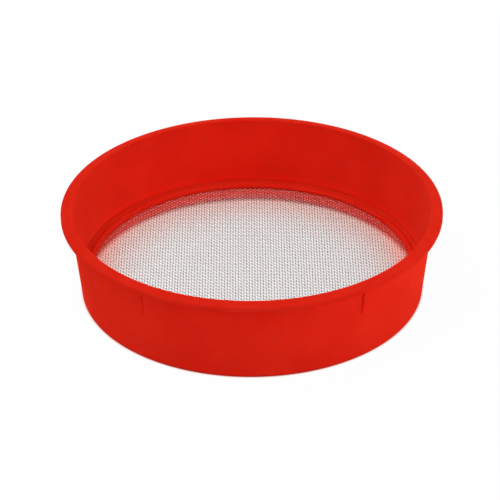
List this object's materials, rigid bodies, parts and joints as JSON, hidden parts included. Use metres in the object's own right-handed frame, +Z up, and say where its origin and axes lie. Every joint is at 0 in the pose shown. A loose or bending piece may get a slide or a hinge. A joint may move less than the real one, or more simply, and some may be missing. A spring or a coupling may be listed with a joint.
{
  "type": "sand sieve",
  "caption": "Round hand sieve with a tapered moulded wall, turned-out rim, woven wire cloth near its foot and a snap-in clamp ring that holds the cloth.",
  "frame": {"origin": "centre of the face that the sieve stands on, below the middle of its box", "axes": "+Z up along the sieve's own axis, out of its mouth; -Y is the side that faces the viewer of the picture, midway between two stacking ribs; the wires run along X and along Y"},
  "size_m": [0.22, 0.22, 0.0525],
  "materials": {
    "body_plastic": "satin-gloss moulded polypropylene, red all through",
    "ring_plastic": "satin-gloss moulded polypropylene, red all through",
    "wire_steel": "bright drawn steel wire"
  },
  "bodies": {
    "root": {"sieve_body": "body_plastic", "clamp_ring": "ring_plastic", "warp_wires": "wire_steel", "weft_wires": "wire_steel"}
  },
  "joints": []
}
